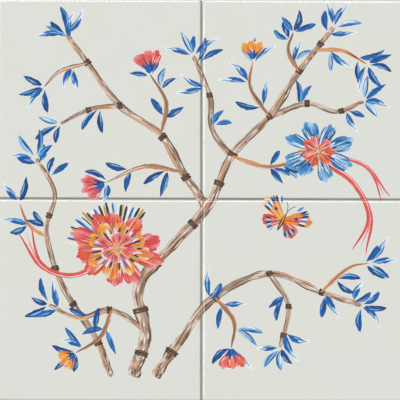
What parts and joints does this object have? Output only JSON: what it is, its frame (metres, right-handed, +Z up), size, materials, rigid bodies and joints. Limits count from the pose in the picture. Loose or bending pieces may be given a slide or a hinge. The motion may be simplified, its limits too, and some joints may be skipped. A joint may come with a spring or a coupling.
{
  "type": "tile panel",
  "caption": "Square panel of glazed ceramic wall tiles with rounded edges, thin grouted joints and keyed backs, its face painted with a flowering spray in blue and coral.",
  "frame": {"origin": "centre of the panel's back on the wall plane, where the corners of the tiles meet", "axes": "+Z up the wall, +X to the viewer's right, +Y out of the back into the wall, so the painted faces look along -Y"},
  "size_m": [0.3012, 0.007, 0.3012],
  "materials": {
    "glaze": "gloss",
    "grout": "matte"
  },
  "bodies": {
    "root": {"tile_top_left": "glaze", "tile_top_right": "glaze", "tile_bottom_left": "glaze", "tile_bottom_right": "glaze", "grout_cross": "grout"}
  },
  "joints": []
}
